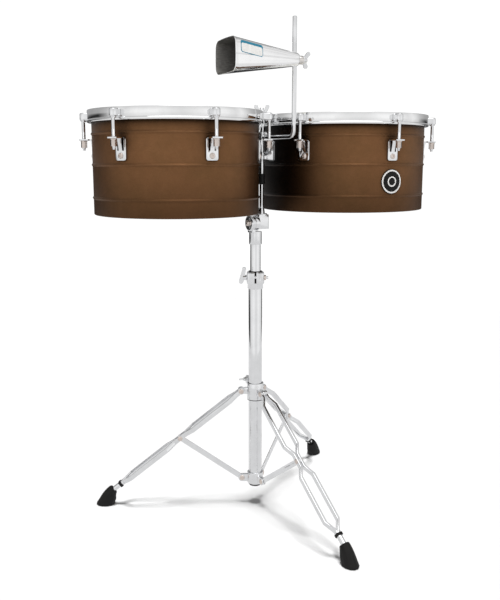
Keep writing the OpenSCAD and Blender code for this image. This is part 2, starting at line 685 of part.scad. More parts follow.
// Two bent bars that meet at the foot, and the round stub beyond them
module leg(k) color(chrome) leg_axis(k) difference() {
    union() {
        both_sides() {
            translate([0, 0, -bar_w / 2]) linear_extrude(height = bar_w) polygon(concat(
                [for (p = bar_line) [p[0], p[1] + bar_t / 2]],
                [for (i = [len(bar_line) - 1:-1:0]) [bar_line[i][0], bar_line[i][1] - bar_t / 2]]));
            translate([0, bar_eye_y, 0]) rotate([-90, 0, 0]) cylinder(r = 7.8, h = bar_t);
        }
        x_cylinder(368, 0, stub_r, 50);
    }
    y_cylinder(0, 0, pin_r + sliding, 30);
    y_cylinder(rivet_at, 0, pin_r + 0.03, 30);
}

module leg_rivet(k) color(steel) leg_axis(k)
    translate([rivet_at, 0, 0]) rivet(length = 15, head_r = 5.8, head_y = 7.3);

module brace(k) color(chrome) leg_side(k)
    translate([brace_pivot_r, 0, brace_pivot_z]) rotate([0, -brace_angle, 0]) difference() {
        union() {
            translate([0, -1.5, -6.2]) cube([brace_l, 3, 12.4]);
            y_cylinder(0, 0, 8.2, 3);
            y_cylinder(brace_l, 0, 7, 3);
        }
        for (x = [0, brace_l]) y_cylinder(x, 0, pin_r + loose, 10);
    }

// Rubber boot on the leg's end, and the band that holds the two bars together
module foot(k) color(black) {
    difference() {
        hull() {
            leg_axis(k) x_cylinder(398, 0, 12, 5, $fn = 32);
            leg_side(k) for (x = [353, 379], y = [-8, 8])
                translate([x, y, 0]) cylinder(r = 9, h = 4, $fn = 32);
        }
        leg_axis(k) x_cylinder(390, 0, stub_hole_r, 28.5);
        // blind socket in the sole
        leg_side(k) translate([366, 0, -1]) cylinder(r = 3, h = 9);
    }
    leg_axis(k) difference() {
        translate([371, -7, -6.8]) cube([7, 14, 13.6]);
        translate([370, -bar_t - 0.1, -bar_w / 2 - 0.05])
            cube([9, 2 * bar_t + 0.2, bar_w + 0.1]);
        x_cylinder(370, 0, stub_hole_r, 9);
    }
}

module leg_1() leg(1);
module leg_2() leg(2);
module leg_3() leg(3);
module leg_rivet_1() leg_rivet(1);
module leg_rivet_2() leg_rivet(2);
module leg_rivet_3() leg_rivet(3);
module brace_1() brace(1);
module brace_2() brace(2);
module brace_3() brace(3);
module foot_1() foot(1);
module foot_2() foot(2);
module foot_3() foot(3);

lower_tube();
tube_plug();
lower_collar();
lower_rivets();
clamp_body();
clamp_bushing();
clamp_nut();
clamp_wing_bolt();
upper_collar();
collar_bushing();
collar_rivets();
collar_wing_bolt();
leg_1();
leg_2();
leg_3();
leg_rivet_1();
leg_rivet_2();
leg_rivet_3();
brace_1();
brace_2();
brace_3();
foot_1();
foot_2();
foot_3();
upper_tube();
tilter_base();
tilter_bolt();
tilter_head();
center_rod();
rod_lock_nut();
rod_bumper();
rod_spacers();
top_wing_nut();
small_shell();
small_head();
small_flesh_hoop();
small_counter_hoop();
small_lug_brackets();
small_lug_screws();
small_tension_hooks();
small_tension_nuts();
small_mount_bracket();
small_mount_bolts();
large_shell();
large_head();
large_flesh_hoop();
large_counter_hoop();
large_lug_brackets();
large_lug_screws();
large_tension_hooks();
large_tension_nuts();
large_mount_bracket();
large_mount_bolts();
shell_badge();
cowbell_arm();
cowbell();
cowbell_eyebolt();
cowbell_sleeve();
cowbell_wing_nut();
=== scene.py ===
"""A pair of drums with a cowbell between them, on a tripod stand.

Metres, +Z up, standing on z = 0. The tripod's tubes stand on the world z axis. The small
drum lies towards -X and the large one towards +X of the centre rod. The badge and the
cowbell are on the -Y side, which is the front. Piece dimensions below are in mm.
"""
import math

import bmesh
import bpy
from mathutils import Matrix, Vector


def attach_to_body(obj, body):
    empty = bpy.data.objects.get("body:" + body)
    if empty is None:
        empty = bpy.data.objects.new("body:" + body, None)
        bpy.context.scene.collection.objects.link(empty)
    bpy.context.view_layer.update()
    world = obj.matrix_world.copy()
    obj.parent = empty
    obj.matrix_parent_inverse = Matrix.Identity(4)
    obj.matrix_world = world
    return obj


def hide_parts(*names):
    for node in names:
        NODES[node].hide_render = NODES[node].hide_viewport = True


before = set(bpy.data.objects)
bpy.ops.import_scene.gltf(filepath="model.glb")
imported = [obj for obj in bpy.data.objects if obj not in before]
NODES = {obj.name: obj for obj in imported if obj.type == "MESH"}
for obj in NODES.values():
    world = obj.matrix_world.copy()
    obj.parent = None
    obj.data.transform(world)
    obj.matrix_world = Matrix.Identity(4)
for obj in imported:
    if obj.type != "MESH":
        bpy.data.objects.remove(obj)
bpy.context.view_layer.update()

scene = bpy.context.scene

MM = 0.001
WELD_GAP = 4e-6             # metres: closer vertices are merged
CREASE = math.radians(32)   # edges turning more than this stay sharp

# Shared places, mm
ROD_X = 16.0                # centre rod
SMALL_SHELL_R = 178.7
LARGE_SHELL_R = 193.5
SMALL_DRUM_X = ROD_X - 32.2 - SMALL_SHELL_R
LARGE_DRUM_X = ROD_X + 28.5 + LARGE_SHELL_R


# ---------------------------------------------------------------- shader helpers

class Nodes:
    """Adds linked shader nodes to one tree. Inputs take a socket or a plain value."""

    def __init__(self, tree):
        self.tree = tree
        tree.nodes.clear()

    def feed(self, socket, value):
        if isinstance(value, bpy.types.NodeSocket):
            self.tree.links.new(value, socket)
            return
        if isinstance(value, tuple) and socket.type == "RGBA":
            value = (*value, 1.0)
        socket.default_value = value

    def add(self, kind, inputs=None, **settings):
        node = self.tree.nodes.new("ShaderNode" + kind)
        for key, value in settings.items():
            setattr(node, key, value)
        for key, value in (inputs or {}).items():
            self.feed(node.inputs[key], value)
        return node

    def remap(self, value, span, to=(0.0, 1.0)):
        """Maps the range span onto the range to, clamped."""
        return self.add("MapRange", {
            "Value": value,
            "From Min": span[0], "From Max": span[1],
            "To Min": to[0], "To Max": to[1],
        }).outputs[0]

    def calc(self, operation, first, second):
        return self.add("Math", {0: first, 1: second}, operation=operation).outputs[0]

    def dot(self, first, second):
        node = self.add("VectorMath", {0: first, 1: second}, operation="DOT_PRODUCT")
        return node.outputs["Value"]

    def mix(self, factor, base, other, mode="MIX"):
        node = self.add("Mix", {0: factor, 6: base, 7: other}, data_type="RGBA", blend_type=mode)
        return node.outputs[2]

    def multiply(self, base, other):
        return self.mix(1.0, base, other, "MULTIPLY")

    def ramp(self, value, stops):
        """Colour ramp of (position, grey or colour) stops, the first at 0 and the last at 1."""
        node = self.add("ValToRGB", {0: value})
        elements = node.color_ramp.elements
        elements[0].position = stops[0][0]
        elements[1].position = stops[-1][0]

        def rgba(shade):
            return (*shade, 1) if isinstance(shade, tuple) else (shade, shade, shade, 1)

        elements[0].color = rgba(stops[0][1])
        elements[1].color = rgba(stops[-1][1])
        for position, shade in stops[1:-1]:
            elements.new(position).color = rgba(shade)
        return node.outputs[0]


class Surface(Nodes):
    """A new material: principled shader, output and object coordinates."""

    def __init__(self, name):
        self.material = bpy.data.materials.new(name)
        self.material.use_nodes = True
        super().__init__(self.material.node_tree)
        self.output = self.add("OutputMaterial")
        self.bsdf = self.add("BsdfPrincipled")
        self.feed(self.output.inputs[0], self.bsdf.outputs[0])
        self.coords = self.mapped((1, 1, 1))

    def mapped(self, scale):
        source = self.add("TexCoord").outputs["Object"]
        return self.add("Mapping", {"Vector": source, "Scale": scale}).outputs[0]

    def noise(self, scale, detail, rough, stretch=None):
        """Noise pattern; a small factor in stretch draws it out along that axis."""
        vector = self.mapped(stretch) if stretch else self.coords
        return self.add("TexNoise", {
            "Vector": vector, "Scale": scale, "Detail": detail, "Roughness": rough,
        }).outputs[0]

    def cells(self, scale):
        return self.add("TexVoronoi", {"Vector": self.coords, "Scale": scale},
                        feature="SMOOTH_F1").outputs[0]

    def spots(self, pattern, base, spot, span=(0.3, 0.7), most=1.0):
        """Goes from base towards spot, by at most `most`, as the pattern rises over span."""
        return self.mix(self.remap(pattern, span, to=(0.0, most)), base, spot)

    def edges(self, radius, span=(0.02, 0.22)):
        """1 on edges and tight corners, 0 on open surface."""
        rounded = self.add("Bevel", {"Radius": radius}, samples=3).outputs[0]
        normal = self.add("NewGeometry").outputs["Normal"]
        turn = self.calc("SUBTRACT", 1.0, self.dot(rounded, normal))
        return self.remap(turn, span)

    def wear(self, edge, color, worn, amount):
        """Mixes the worn colour in along the edges."""
        return self.mix(self.calc("MULTIPLY", edge, amount), color, worn)

    def bump(self, height, strength, distance, normal=None):
        inputs = {"Height": height, "Strength": strength, "Distance": distance}
        if normal is not None:
            inputs["Normal"] = normal
        return self.add("Bump", inputs).outputs[0]

    def finish(self, inputs):
        """Sets the principled shader's inputs and returns the material."""
        for key, value in inputs.items():
            self.feed(self.bsdf.inputs[key], value)
        return self.material


def scaled(color, factor):
    return tuple(channel * factor for channel in color)


# ---------------------------------------------------------------- materials

def chrome(name, tint=(0.86, 0.865, 0.875), rough=0.07, cast=0.0, along=(1, 1, 1)):
    """Plating. cast: strength of the casting's unevenness; along: stretch of the streaks."""
    mat = Surface(name)
    cloud = mat.noise(scale=34, detail=3, rough=0.6)
    fine = mat.noise(scale=420, detail=4, rough=0.6)
    streak = mat.noise(scale=650, detail=2, rough=0.5, stretch=along)
    color = mat.spots(cloud, base=tint, spot=scaled(tint, 0.93))
    roughness = mat.calc(
        "ADD",
        mat.remap(cloud, span=(0.35, 0.75), to=(rough * 0.6, rough * 1.7)),
        mat.remap(streak, span=(0.45, 0.8), to=(0.0, 0.07)))
    edge = mat.calc("MULTIPLY", mat.edges(radius=0.0007), mat.remap(fine, span=(0.4, 0.65)))
    # edges are rougher by up to 0.16
    roughness = mat.calc("ADD", roughness, mat.calc("MULTIPLY", edge, 0.16))
    color = mat.wear(edge, color, worn=(0.66, 0.65, 0.63), amount=0.35)
    normal = mat.bump(streak, strength=0.05, distance=0.00004)
    if cast:
        uneven = mat.noise(scale=160, detail=3, rough=0.55)
        normal = mat.bump(uneven, strength=cast, distance=0.0006, normal=normal)
    return mat.finish({
        "Base Color": color, "Roughness": roughness, "Metallic": 1.0, "Normal": normal})


# (height up the shell 0..1, brightness): painted light and shade by height, dark at the foot,
# brightest near the top
PAINTED_LIGHT_BAND = ((0.0, 0.56), (0.13, 0.66), (0.24, 0.76), (0.42, 0.96), (0.62, 1.08),
             (0.86, 1.14), (1.0, 1.0))


def powder_coat(name):
    """Antiqued brown coat with a pebbled grain, with painted light and shade by height and
    painted shade near other parts.
    """
    mat = Surface(name)
    cloud = mat.noise(scale=9, detail=4, rough=0.6)
    patch = mat.noise(scale=55, detail=3, rough=0.6)
    grain = mat.noise(scale=900, detail=4, rough=0.65)
    pebble = mat.cells(scale=620)
    speck = mat.noise(scale=2400, detail=2, rough=0.5)
    color = mat.spots(cloud, base=(0.207, 0.0955, 0.0405), spot=(0.172, 0.0845, 0.034),
                      span=(0.33, 0.68))
    color = mat.spots(patch, color, spot=(0.230, 0.108, 0.047), span=(0.4, 0.7), most=0.5)
    color = mat.spots(grain, color, spot=(0.088, 0.047, 0.025), span=(0.35, 0.65), most=0.34)
    color = mat.spots(speck, color, spot=(0.30, 0.20, 0.13), span=(0.62, 0.75), most=0.35)
    edge = mat.calc(
        "MULTIPLY",
        mat.edges(radius=0.0016, span=(0.015, 0.16)),
        mat.remap(grain, span=(0.42, 0.6), to=(0.15, 1.0)))
    color = mat.wear(edge, color, worn=(0.30, 0.185, 0.11), amount=0.55)

    # painted light and shade by height, in bands with a wavering border
    height = mat.add("SeparateXYZ", {0: mat.coords}).outputs["Z"]
    waver = mat.remap(mat.noise(scale=14, detail=4, rough=0.65),
                      span=(0.3, 0.7), to=(-0.008, 0.008))
    level = mat.remap(mat.calc("ADD", height, waver), span=(0.715, 0.920))
    color = mat.multiply(color, mat.ramp(level, PAINTED_LIGHT_BAND))

    # painted shade where something stands close to the shell, above all between the drums, and a
    # slight painted lift where it is open
    open_air = mat.add("AmbientOcclusion", {"Distance": 0.22}, samples=8).outputs["AO"]
    # the power of 2.6 deepens the shade
    shade = mat.remap(mat.calc("POWER", open_air, 2.6), span=(0.0, 1.0), to=(0.0, 1.04))
    grey = mat.add("CombineColor", {0: shade, 1: shade, 2: shade}).outputs[0]
    color = mat.multiply(color, grey)

    # edges are smoother by up to 0.14
    roughness = mat.calc(
        "SUBTRACT",
        mat.remap(grain, span=(0.3, 0.7), to=(0.37, 0.50)),
        mat.calc("MULTIPLY", edge, 0.14))
    # relief: 0.6 of grain and 0.5 of pebble
    relief = mat.calc("ADD", mat.calc("MULTIPLY", grain, 0.6), mat.calc("MULTIPLY", pebble, 0.5))
    return mat.finish({
        "Base Color": color, "Roughness": roughness,
        "Metallic": 0.90, "Specular IOR Level": 0.25,
        "Normal": mat.bump(relief, strength=0.55, distance=0.0003)})


def satin_steel(name, tint=(0.80, 0.71, 0.655), rough=0.24):
    mat = Surface(name)
    cloud = mat.noise(scale=90, detail=3, rough=0.6)
    brush = mat.noise(scale=2200, detail=2, rough=0.6, stretch=(1, 1, 0.05))
    color = mat.spots(cloud, base=tint, spot=scaled(tint, 0.84))
    color = mat.wear(mat.edges(radius=0.0005), color, worn=(0.88, 0.85, 0.82), amount=0.4)
    roughness = mat.calc(
        "ADD",
        mat.remap(cloud, span=(0.3, 0.7), to=(rough * 0.75, rough * 1.3)),
        mat.remap(brush, span=(0.4, 0.8), to=(0.0, 0.09)))
    return mat.finish({
        "Base Color": color, "Roughness": roughness, "Metallic": 1.0,
        "Normal": mat.bump(brush, strength=0.12, distance=0.00005)})


def black_rubber(name, base=(0.0055, 0.0052, 0.005), rough=0.55):
    mat = Surface(name)
    cloud = mat.noise(scale=70, detail=4, rough=0.6)
    grain = mat.noise(scale=1300, detail=3, rough=0.6)
    color = mat.spots(cloud, base=base, spot=scaled(base, 1.9), span=(0.35, 0.7))
    edge = mat.calc("MULTIPLY", mat.edges(radius=0.0018),
                    mat.remap(grain, span=(0.4, 0.6), to=(0.2, 1.0)))
    color = mat.wear(edge, color, worn=(0.035, 0.033, 0.032), amount=0.5)
    return mat.finish({
        "Base Color": color,
        "Roughness": mat.remap(cloud, span=(0.3, 0.7), to=(rough - 0.1, rough + 0.14)),
        "Specular IOR Level": 0.22,
        "Normal": mat.bump(grain, strength=0.3, distance=0.00025)})


def drumhead_film(name):
    """Off-white film with a sprayed, faintly rough coating."""
    mat = Surface(name)
    cloud = mat.noise(scale=16, detail=5, rough=0.65)
    grain = mat.noise(scale=1500, detail=3, rough=0.7)
    spray = mat.cells(scale=800)
    color = mat.spots(cloud, base=(0.80, 0.79, 0.745), spot=(0.86, 0.85, 0.81))
    color = mat.spots(grain, color, spot=(0.62, 0.61, 0.57), span=(0.55, 0.8), most=0.25)
    # relief: the grain and 0.6 of the spray
    relief = mat.calc("ADD", grain, mat.calc("MULTIPLY", spray, 0.6))
    return mat.finish({
        "Base Color": color,
        "Roughness": mat.remap(grain, span=(0.3, 0.7), to=(0.42, 0.6)),
        "Subsurface Weight": 0.12,
        "Subsurface Radius": (0.002, 0.002, 0.0018),
        "Subsurface Scale": 1.0,
        "Normal": mat.bump(relief, strength=0.22, distance=0.0002)})


def aluminium(name):
    mat = Surface(name)
    cloud = mat.noise(scale=60, detail=3, rough=0.6)
    brush = mat.noise(scale=2600, detail=2, rough=0.6, stretch=(0.06, 0.06, 1))
    return mat.finish({
        "Base Color": mat.spots(cloud, base=(0.72, 0.72, 0.73), spot=(0.62, 0.62, 0.63)),
        "Roughness": mat.remap(brush, span=(0.3, 0.8), to=(0.26, 0.42)),
        "Metallic": 1.0,
        "Normal": mat.bump(brush, strength=0.15, distance=0.00006)})


def bell_outside(name):
    """Plated sheet: bright, with long brush lines and a few dull clouds."""
    mat = Surface(name)
    cloud = mat.noise(scale=26, detail=4, rough=0.6)
    brush = mat.noise(scale=1700, detail=3, rough=0.6, stretch=(0.03, 1, 1))
    dents = mat.noise(scale=95, detail=2, rough=0.5)
    color = mat.spots(cloud, base=(0.985, 0.985, 0.988), spot=(0.945, 0.945, 0.95))
    color = mat.wear(mat.edges(radius=0.0012), color, worn=(0.70, 0.69, 0.67), amount=0.3)
    roughness = mat.calc(
        "ADD",
        mat.remap(cloud, span=(0.3, 0.7), to=(0.06, 0.13)),
        mat.remap(brush, span=(0.4, 0.8), to=(0.0, 0.08)))
    normal = mat.bump(brush, strength=0.10, distance=0.00005)
    return mat.finish({
        "Base Color": color, "Roughness": roughness, "Metallic": 1.0,
        "Normal": mat.bump(dents, strength=0.06, distance=0.0012, normal=normal)})


def bell_inside(name):
    """Inside: dark grey, with heavy roll lines and darker clouds."""
    mat = Surface(name)
    cloud = mat.noise(scale=30, detail=4, rough=0.65)
    lines = mat.noise(scale=900, detail=3, rough=0.7, stretch=(0.12, 0.12, 1))
    fine = mat.noise(scale=700, detail=3, rough=0.6)
    color = mat.spots(lines, base=(0.115, 0.110, 0.102), spot=(0.235, 0.228, 0.215),
                      span=(0.3, 0.72))
    color = mat.spots(cloud, color, spot=(0.075, 0.072, 0.068), span=(0.4, 0.75), most=0.6)
    return mat.finish({
        "Base Color": color,
        "Roughness": mat.remap(fine, span=(0.3, 0.7), to=(0.42, 0.62)),
        "Metallic": 0.55,
        "Normal": mat.bump(lines, strength=0.3, distance=0.0002)})


def gloss_black(name):
    mat = Surface(name)
    cloud = mat.noise(scale=110, detail=3, rough=0.6)
    peel = mat.noise(scale=500, detail=2, rough=0.5)
    color = mat.spots(cloud, base=(0.004, 0.004, 0.004), spot=(0.009, 0.0085, 0.008))
    color = mat.wear(mat.edges(radius=0.0008), color, worn=(0.09, 0.085, 0.08), amount=0.4)
    return mat.finish({
        "Base Color": color,
        "Roughness": mat.remap(cloud, span=(0.3, 0.7), to=(0.16, 0.27)),
        "Specular IOR Level": 0.12,
        "Coat Weight": 0.04,
        "Coat Roughness": 0.12,
        "Normal": mat.bump(peel, strength=0.08, distance=0.0002)})


def enamel(name, base, spot, rough=0.3):
    mat = Surface(name)
    cloud = mat.noise(scale=130, detail=3, rough=0.6)
    grain = mat.noise(scale=1100, detail=2, rough=0.5)
    return mat.finish({
        "Base Color": mat.spots(cloud, base=base, spot=spot),
        "Roughness": mat.remap(grain, span=(0.3, 0.7), to=(rough - 0.06, rough + 0.08)),
        "Normal": mat.bump(grain, strength=0.1, distance=0.0001)})


UPRIGHT = (1, 1, 0.02)      # streaks drawn out along z
MATERIALS = {
    "tube": chrome("chrome_tube", along=UPRIGHT),
    "bar": chrome("chrome_bar", rough=0.09, cast=0.04),
    "cast": chrome("chrome_cast", rough=0.10, cast=0.16),
    "hoop": chrome("chrome_hoop", tint=(0.93, 0.932, 0.935), rough=0.05, along=(0.05, 0.05, 1)),
    "stamp": chrome("chrome_stamped", rough=0.08, cast=0.05),
    "rod": chrome("chrome_rod", rough=0.07, along=UPRIGHT),
    "steel": satin_steel("fastener_steel"),
    "sleeve": satin_steel("sleeve_steel", tint=(0.78, 0.75, 0.72), rough=0.16),
    # the shells' coat carries painted light and shade by height and painted shade near other
    # parts
    "shell": powder_coat("shell_powder_coat"),
    "film": drumhead_film("drumhead_film"),
    "alu": aluminium("flesh_hoop_aluminium"),
    "plastic": black_rubber("black_nylon", base=(0.014, 0.0135, 0.013), rough=0.36),
    "rubber": black_rubber("black_rubber"),
    "badge": gloss_black("badge_black"),
    "bell_out": bell_outside("bell_plate_outside"),
    "bell_in": bell_inside("bell_plate_inside"),
    "enamel_white": enamel("enamel_white", base=(0.80, 0.79, 0.77), spot=(0.70, 0.69, 0.67)),
    "enamel_blue": enamel("enamel_blue", base=(0.012, 0.16, 0.25), spot=(0.016, 0.20, 0.30)),
}


# ---------------------------------------------------------------- CAD pieces

def smooth_by_angle():
    """Geometry nodes group: smooth faces, with edges past CREASE left sharp."""
    group = bpy.data.node_groups.new("smooth_by_angle", "GeometryNodeTree")
    for direction in ("INPUT", "OUTPUT"):
        group.interface.new_socket("Geometry", in_out=direction, socket_type="NodeSocketGeometry")
    source = group.nodes.new("NodeGroupInput")
    result = group.nodes.new("NodeGroupOutput")
    remove = group.nodes.new("GeometryNodeRemoveAttribute")
    remove.inputs["Name"].default_value = "custom_normal"
    faces = group.nodes.new("GeometryNodeSetShadeSmooth")
    faces.domain = "FACE"
    faces.inputs["Shade Smooth"].default_value = True
    edges = group.nodes.new("GeometryNodeSetShadeSmooth")
    edges.domain = "EDGE"
    edges.inputs["Shade Smooth"].default_value = False
    angle = group.nodes.new("GeometryNodeInputMeshEdgeAngle")
    sharp = group.nodes.new("FunctionNodeCompare")
    sharp.data_type = "FLOAT"
    sharp.operation = "GREATER_THAN"
    sharp.inputs[1].default_value = CREASE
    group.links.new(angle.outputs["Unsigned Angle"], sharp.inputs[0])
    group.links.new(source.outputs[0], remove.inputs["Geometry"])
    group.links.new(remove.outputs["Geometry"], faces.inputs["Geometry"])
    group.links.new(faces.outputs["Geometry"], edges.inputs["Geometry"])
    group.links.new(sharp.outputs[0], edges.inputs["Selection"])
    group.links.new(edges.outputs["Geometry"], result.inputs[0])
    return group


SMOOTH = smooth_by_angle()


def add_smooth(obj):
    obj.modifiers.new("smooth", "NODES").node_group = SMOOTH


def paint(obj, material):
    """Gives the whole object one material."""
    obj.data.materials.clear()
    obj.data.materials.append(MATERIALS[material])
    for polygon in obj.data.polygons:
        polygon.material_index = 0


# (material, bevel width in mm or 0 for none, CAD nodes)
CAD_FINISH = (
    ("tube", 0.3, "lower_tube upper_tube"),
    ("bar", 1.3, "leg_1 leg_2 leg_3"),
    ("bar", 0.7, "brace_1 brace_2 brace_3"),
    ("cast", 0.3, "lower_collar upper_collar"),
    ("cast", 0.7, "tilter_base"),
    ("cast", 0.8, "clamp_body collar_wing_bolt tilter_head cowbell_wing_nut "
                  "small_tension_hooks large_tension_hooks"),
    ("cast", 0.9, "top_wing_nut"),
    ("cast", 1.2, "clamp_wing_bolt"),
    ("hoop", 0, "small_counter_hoop large_counter_hoop"),
    ("stamp", 0.3, "small_lug_brackets large_lug_brackets "
                   "small_mount_bracket large_mount_bracket"),
    ("rod", 0.3, "center_rod cowbell_arm rod_lock_nut rod_spacers"),
    ("steel", 0.3, "lower_rivets clamp_nut tilter_bolt small_tension_nuts large_tension_nuts "
                   "small_mount_bolts large_mount_bolts cowbell_eyebolt"),
    ("steel", 0, "collar_rivets leg_rivet_1 leg_rivet_2 leg_rivet_3 "
                 "small_lug_screws large_lug_screws"),
    ("sleeve", 0.3, "cowbell_sleeve"),
    ("shell", 0, "small_shell large_shell"),
    ("film", 0, "small_head large_head"),
    ("alu", 0, "small_flesh_hoop large_flesh_hoop"),
    ("plastic", 0.3, "tube_plug clamp_bushing collar_bushing"),
    ("rubber", 0.3, "rod_bumper"),
    ("rubber", 0.8, "foot_1 foot_2 foot_3"),
    ("badge", 0.3, "shell_badge"),
    ("bell_out", 0.3, "cowbell"),
)
BEVEL_ANGLE = math.radians(28)
WIDE_BEVEL = 0.6            # mm: wider bevels get a third segment


def finish_cad(node, material, width):
    """Keeps a CAD node: material, rounded edges and clean shading, all as modifiers."""
    obj = NODES[node]
    paint(obj, material)
    obj.modifiers.new("weld", "WELD").merge_threshold = WELD_GAP
    if width:
        bevel = obj.modifiers.new("edge", "BEVEL")
        bevel.width = width * MM
        bevel.segments = 3 if width > WIDE_BEVEL else 2
        bevel.limit_method = "ANGLE"
        bevel.angle_limit = BEVEL_ANGLE
        bevel.use_clamp_overlap = True
        bevel.miter_outer = "MITER_ARC"
    add_smooth(obj)


for material, width, nodes in CAD_FINISH:
    for node in nodes.split():
        finish_cad(node, material, width)


# ---------------------------------------------------------------- mesh helpers

def new_object(name, mesh):
    obj = bpy.data.objects.new(name, mesh)
    scene.collection.objects.link(obj)
    return obj


def link_mesh(name, verts, faces, materials):
    """Smooth-shaded object with its normals made consistent."""
    mesh = bpy.data.meshes.new(name)
    mesh.from_pydata([tuple(vert) for vert in verts], [], faces)
    bm = bmesh.new()
    bm.from_mesh(mesh)
    bmesh.ops.recalc_face_normals(bm, faces=bm.faces)
    bm.to_mesh(mesh)
    bm.free()
    for key in materials:
        mesh.materials.append(MATERIALS[key])
    for polygon in mesh.polygons:
        polygon.use_smooth = True
    return new_object(name, mesh)


def attach(obj, body, replaces=None):
    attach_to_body(obj, body)
    if replaces:
        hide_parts(replaces)


def add_piece(name, verts, faces, material, body, replaces=None):
    obj = link_mesh(name, verts, faces, [material])
    add_smooth(obj)
    attach(obj, body, replaces)


def skin(rings, around, start=0):
    """Quads joining each of the rings, of `around` points, to the next one."""
    faces = []
    for i in range(rings - 1):
        near = start + i * around
        far = near + around
        for k in range(around):
            after = (k + 1) % around
            faces.append((near + k, near + after, far + after, far + k))
    return faces


def frame_of(origin, axis):
    """Matrix taking local z to axis; origin in metres."""
    z = Vector(axis).normalized()
    x = Vector((1, 0, 0)) if abs(z.x) < 0.9 else Vector((0, 1, 0))
    x = (x - z * x.dot(z)).normalized()
    y = z.cross(x)
    matrix = Matrix((x, y, z)).transposed().to_4x4()
    matrix.translation = Vector(origin)
    return matrix


def bake(obj):
    """Applies the modifiers of a built piece."""
    bpy.context.view_layer.update()
    depsgraph = bpy.context.evaluated_depsgraph_get()
    mesh = bpy.data.meshes.new_from_object(
        obj.evaluated_get(depsgraph), preserve_all_data_layers=False, depsgraph=depsgraph)
    obj.modifiers.clear()
    obj.data = mesh


# ---------------------------------------------------------------- cowbell
# Bell frame, mm: x from the closed narrow end to the open mouth, y to the front, z up.

BELL_ARM = 115              # from the centre rod to the bell's origin
BELL_ARM_ANGLE = math.radians(-82)
BELL_TURN = math.radians(176)
BELL_ORIGIN = Vector(((ROD_X + BELL_ARM * math.cos(BELL_ARM_ANGLE)) * MM,
                      BELL_ARM * math.sin(BELL_ARM_ANGLE) * MM,
                      1.040))
BELL_X = Vector((math.cos(BELL_TURN), math.sin(BELL_TURN), 0))
BELL_Y = Vector((-BELL_X.y, BELL_X.x, 0))

BELL_END = -8.6             # x of the closed end
BELL_INNER_END = -7.2       # x of the closed end's inner face
BELL_LENGTH = 167.6
BELL_CROWN = 0.9            # bulge of each face at its middle
CROWN_RUN = 40              # distance from the closed end over which the bulge grows
BELL_AROUND = 256           # points round each ring
CAP_RINGS = (0.75, 0.5, 0.3)    # sizes of the rings that close each end plate

# Seam along the middle of each side
SEAM_BAND = 3               # how near the side a point must be to belong to the seam
SEAM_HALF = 1.5             # half width of the groove
SEAM_DEPTH = 0.75
LAP_TOP = -1.0              # z below which the lower half stands proud
LAP = 0.22
LAP_RUN = 1.5               # height over which the lap reaches its full size

# (x, offset from the nominal outline)
BELL_OUTER = (
    [(-8.6, -5.4), (-8.45, -4.2), (-8.0, -3.0), (-7.2, -1.9), (-6.2, -1.1), (-5.2, -0.5)]
    + [(x, 0.0) for x in (-3.5, 0, 6, 14, 24, 36, 50, 64, 78, 92, 106, 120, 132, 142, 150, 154)]
    + [(156.2, 0.35), (157.6, 0.55), (158.6, 0.35), (159.0, -0.3)]
)
BELL_INNER = (
    [(158.7, -1.1), (157.4, -1.45), (155, -1.5)]
    + [(x, -1.4) for x in (150, 142, 132, 120, 106, 92, 78, 64, 50, 36, 24, 14, 6, 0, -3)]
    + [(-4.8, -1.9), (-6.0, -2.9), (-6.8, -4.2), (-7.2, -5.6)]
)


def bell_point(x, y, z):
    return BELL_ORIGIN + (BELL_X * x + BELL_Y * y + Vector((0, 0, z))) * MM


def bell_size(x):
    """Width, height and corner radius of the bell at x."""
    t = (x - BELL_END) / BELL_LENGTH
    return 26 + 80 * t, 25 + 43 * t, 8 + 8 * t


def outline_point(fraction, width, height, radius, crown):
    """(y, z) at a fraction of the way round a rounded rectangle with crowned faces."""
    half_y, half_z = width / 2 - radius, height / 2 - radius
    arc = math.pi * radius / 2
    sides = [2 * half_z, arc, 2 * half_y, arc] * 2
    run = fraction * sum(sides)
    k = 0
    while run > sides[k]:
        run -= sides[k]
        k += 1
    t = run / sides[k]
    quarter = k // 2
    if k % 2:
        sign_y, sign_z = ((1, 1), (-1, 1), (-1, -1), (1, -1))[quarter]
        angle = quarter * math.pi / 2 + t * math.pi / 2
        return (sign_y * half_y + radius * math.cos(angle),
                sign_z * half_z + radius * math.sin(angle))
    bulge = crown * (1 - (2 * t - 1) ** 2)
    return ((width / 2 + bulge, -half_z + run),
            (half_y - run, height / 2 + bulge),
            (-width / 2 - bulge, half_z - run),
            (-half_y + run, -height / 2 - bulge))[quarter]


def bell_ring(x, offset, seam):
    width, height, radius = bell_size(x)
    crown = BELL_CROWN * min(1.0, max(0.0, (x - BELL_END) / CROWN_RUN))
    points = []
    for i in range(BELL_AROUND):
        y, z = outline_point(i / BELL_AROUND, width + 2 * offset, height + 2 * offset,
                             max(1.0, radius + offset), crown)
        if seam and abs(y) > width / 2 - SEAM_BAND:
            near = max(0.0, 1 - abs(z) / SEAM_HALF)
            y -= math.copysign(SEAM_DEPTH * near * near * (3 - 2 * near), y)
            if z < LAP_TOP:
                y += math.copysign(LAP * min(1.0, (LAP_TOP - z) / LAP_RUN), y)
        points.append(bell_point(x, y, z))
    return points


def close_bell_end(verts, faces, x, ring):
    """Closes a ring with smaller rings about the bell's axis at x and a last flat face."""
    base = ring * BELL_AROUND
    previous = [base + k for k in range(BELL_AROUND)]
    centre = bell_point(x, 0, 0)
    for size in CAP_RINGS:
        current = [len(verts) + k for k in range(BELL_AROUND)]
        for k in range(BELL_AROUND):
            verts.append(centre + (verts[base + k] - centre) * size)
        for k in range(BELL_AROUND):
            after = (k + 1) % BELL_AROUND
            faces.append((previous[k], previous[after], current[after], current[k]))
        previous = current
    faces.append(tuple(previous))


